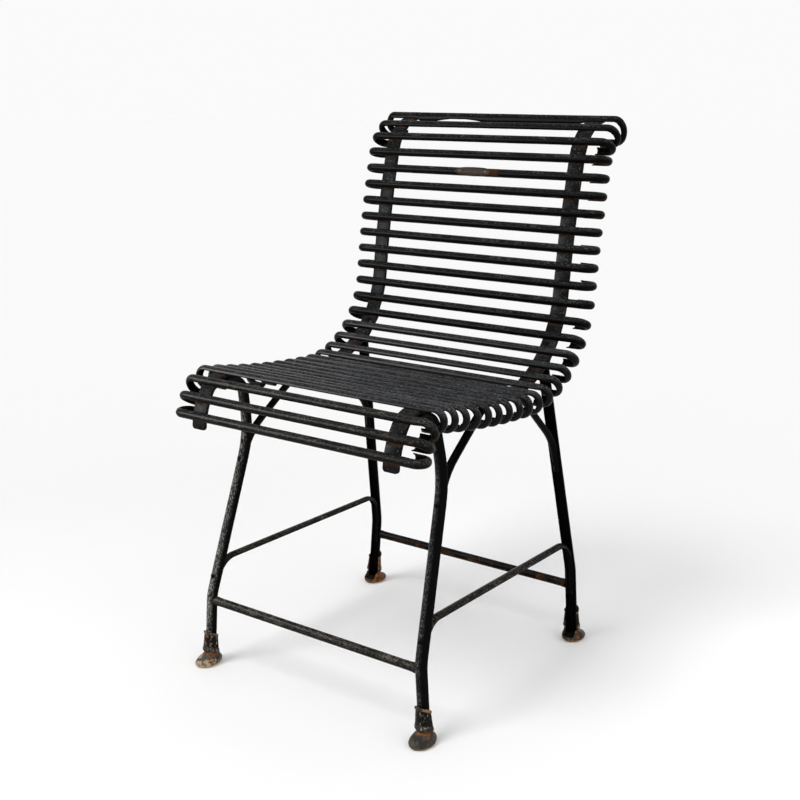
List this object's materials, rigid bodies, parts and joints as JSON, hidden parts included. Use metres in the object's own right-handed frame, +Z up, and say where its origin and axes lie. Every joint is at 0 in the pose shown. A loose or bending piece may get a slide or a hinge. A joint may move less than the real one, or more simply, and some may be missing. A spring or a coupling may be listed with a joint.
{
  "type": "metal outdoor chair",
  "caption": "Wrought-iron garden side chair with half-round slats hooked round two curved straps, a rolled crest, splayed braced legs and cast hoof feet.",
  "frame": {"origin": "middle of the bounding box, on the floor under the hooves", "axes": "+X to the right as seen from the front, +Y towards the back of the chair, +Z up; the chair faces -Y"},
  "size_m": [0.46, 0.5439, 0.8447],
  "materials": {
    "worn_black_paint": "worn near-black paint with chips and light rust",
    "strap_paint": "worn near-black paint with rust along the edges and under the slats",
    "leg_paint": "worn near-black paint",
    "rusted_paint": "paint mostly gone to brown rust",
    "weathered_cast_iron": "cast iron with worn paint, tan and orange rust",
    "bare_plate": "dull bare metal"
  },
  "bodies": {
    "root": {"brace_rivet_front_left": "rusted_paint", "brace_rivet_front_right": "rusted_paint", "brace_rivet_rear_left": "rusted_paint", "brace_rivet_rear_right": "rusted_paint", "front_brace_left": "leg_paint", "front_brace_right": "leg_paint", "front_hoof_left": "weathered_cast_iron", "front_hoof_right": "weathered_cast_iron", "front_leg_left": "leg_paint", "front_leg_right": "leg_paint", "front_stretcher": "worn_black_paint", "oval_plate": "bare_plate", "plate_rivet_left": "bare_plate", "plate_rivet_right": "bare_plate", "rear_brace_left": "leg_paint", "rear_brace_right": "leg_paint", "rear_hoof_left": "weathered_cast_iron", "rear_hoof_right": "weathered_cast_iron", "rear_leg_left": "leg_paint", "rear_leg_right": "leg_paint", "rear_stretcher": "rusted_paint", "side_rivet_front_left": "rusted_paint", "side_rivet_front_right": "rusted_paint", "side_rivet_rear_left": "rusted_paint", "side_rivet_rear_right": "rusted_paint", "side_stretcher_left": "worn_black_paint", "side_stretcher_right": "worn_black_paint", "slat_01": "worn_black_paint", "slat_02": "worn_black_paint", "slat_03": "worn_black_paint", "slat_04": "worn_black_paint", "slat_05": "worn_black_paint", "slat_06": "worn_black_paint", "slat_07": "worn_black_paint", "slat_08": "worn_black_paint", "slat_09": "worn_black_paint", "slat_10": "worn_black_paint", "slat_11": "worn_black_paint", "slat_12": "worn_black_paint", "slat_13": "worn_black_paint", "slat_14": "worn_black_paint", "slat_15": "worn_black_paint", "slat_16": "worn_black_paint", "slat_17": "worn_black_paint", "slat_18": "worn_black_paint", "slat_19": "worn_black_paint", "slat_20": "worn_black_paint", "slat_21": "worn_black_paint", "slat_22": "worn_black_paint", "slat_23": "worn_black_paint", "slat_24": "worn_black_paint", "slat_25": "worn_black_paint", "slat_26": "worn_black_paint", "slat_27": "worn_black_paint", "slat_28": "worn_black_paint", "slat_29": "worn_black_paint", "slat_30": "worn_black_paint", "slat_31": "worn_black_paint", "strap_left": "strap_paint", "strap_right": "strap_paint"}
  },
  "joints": []
}
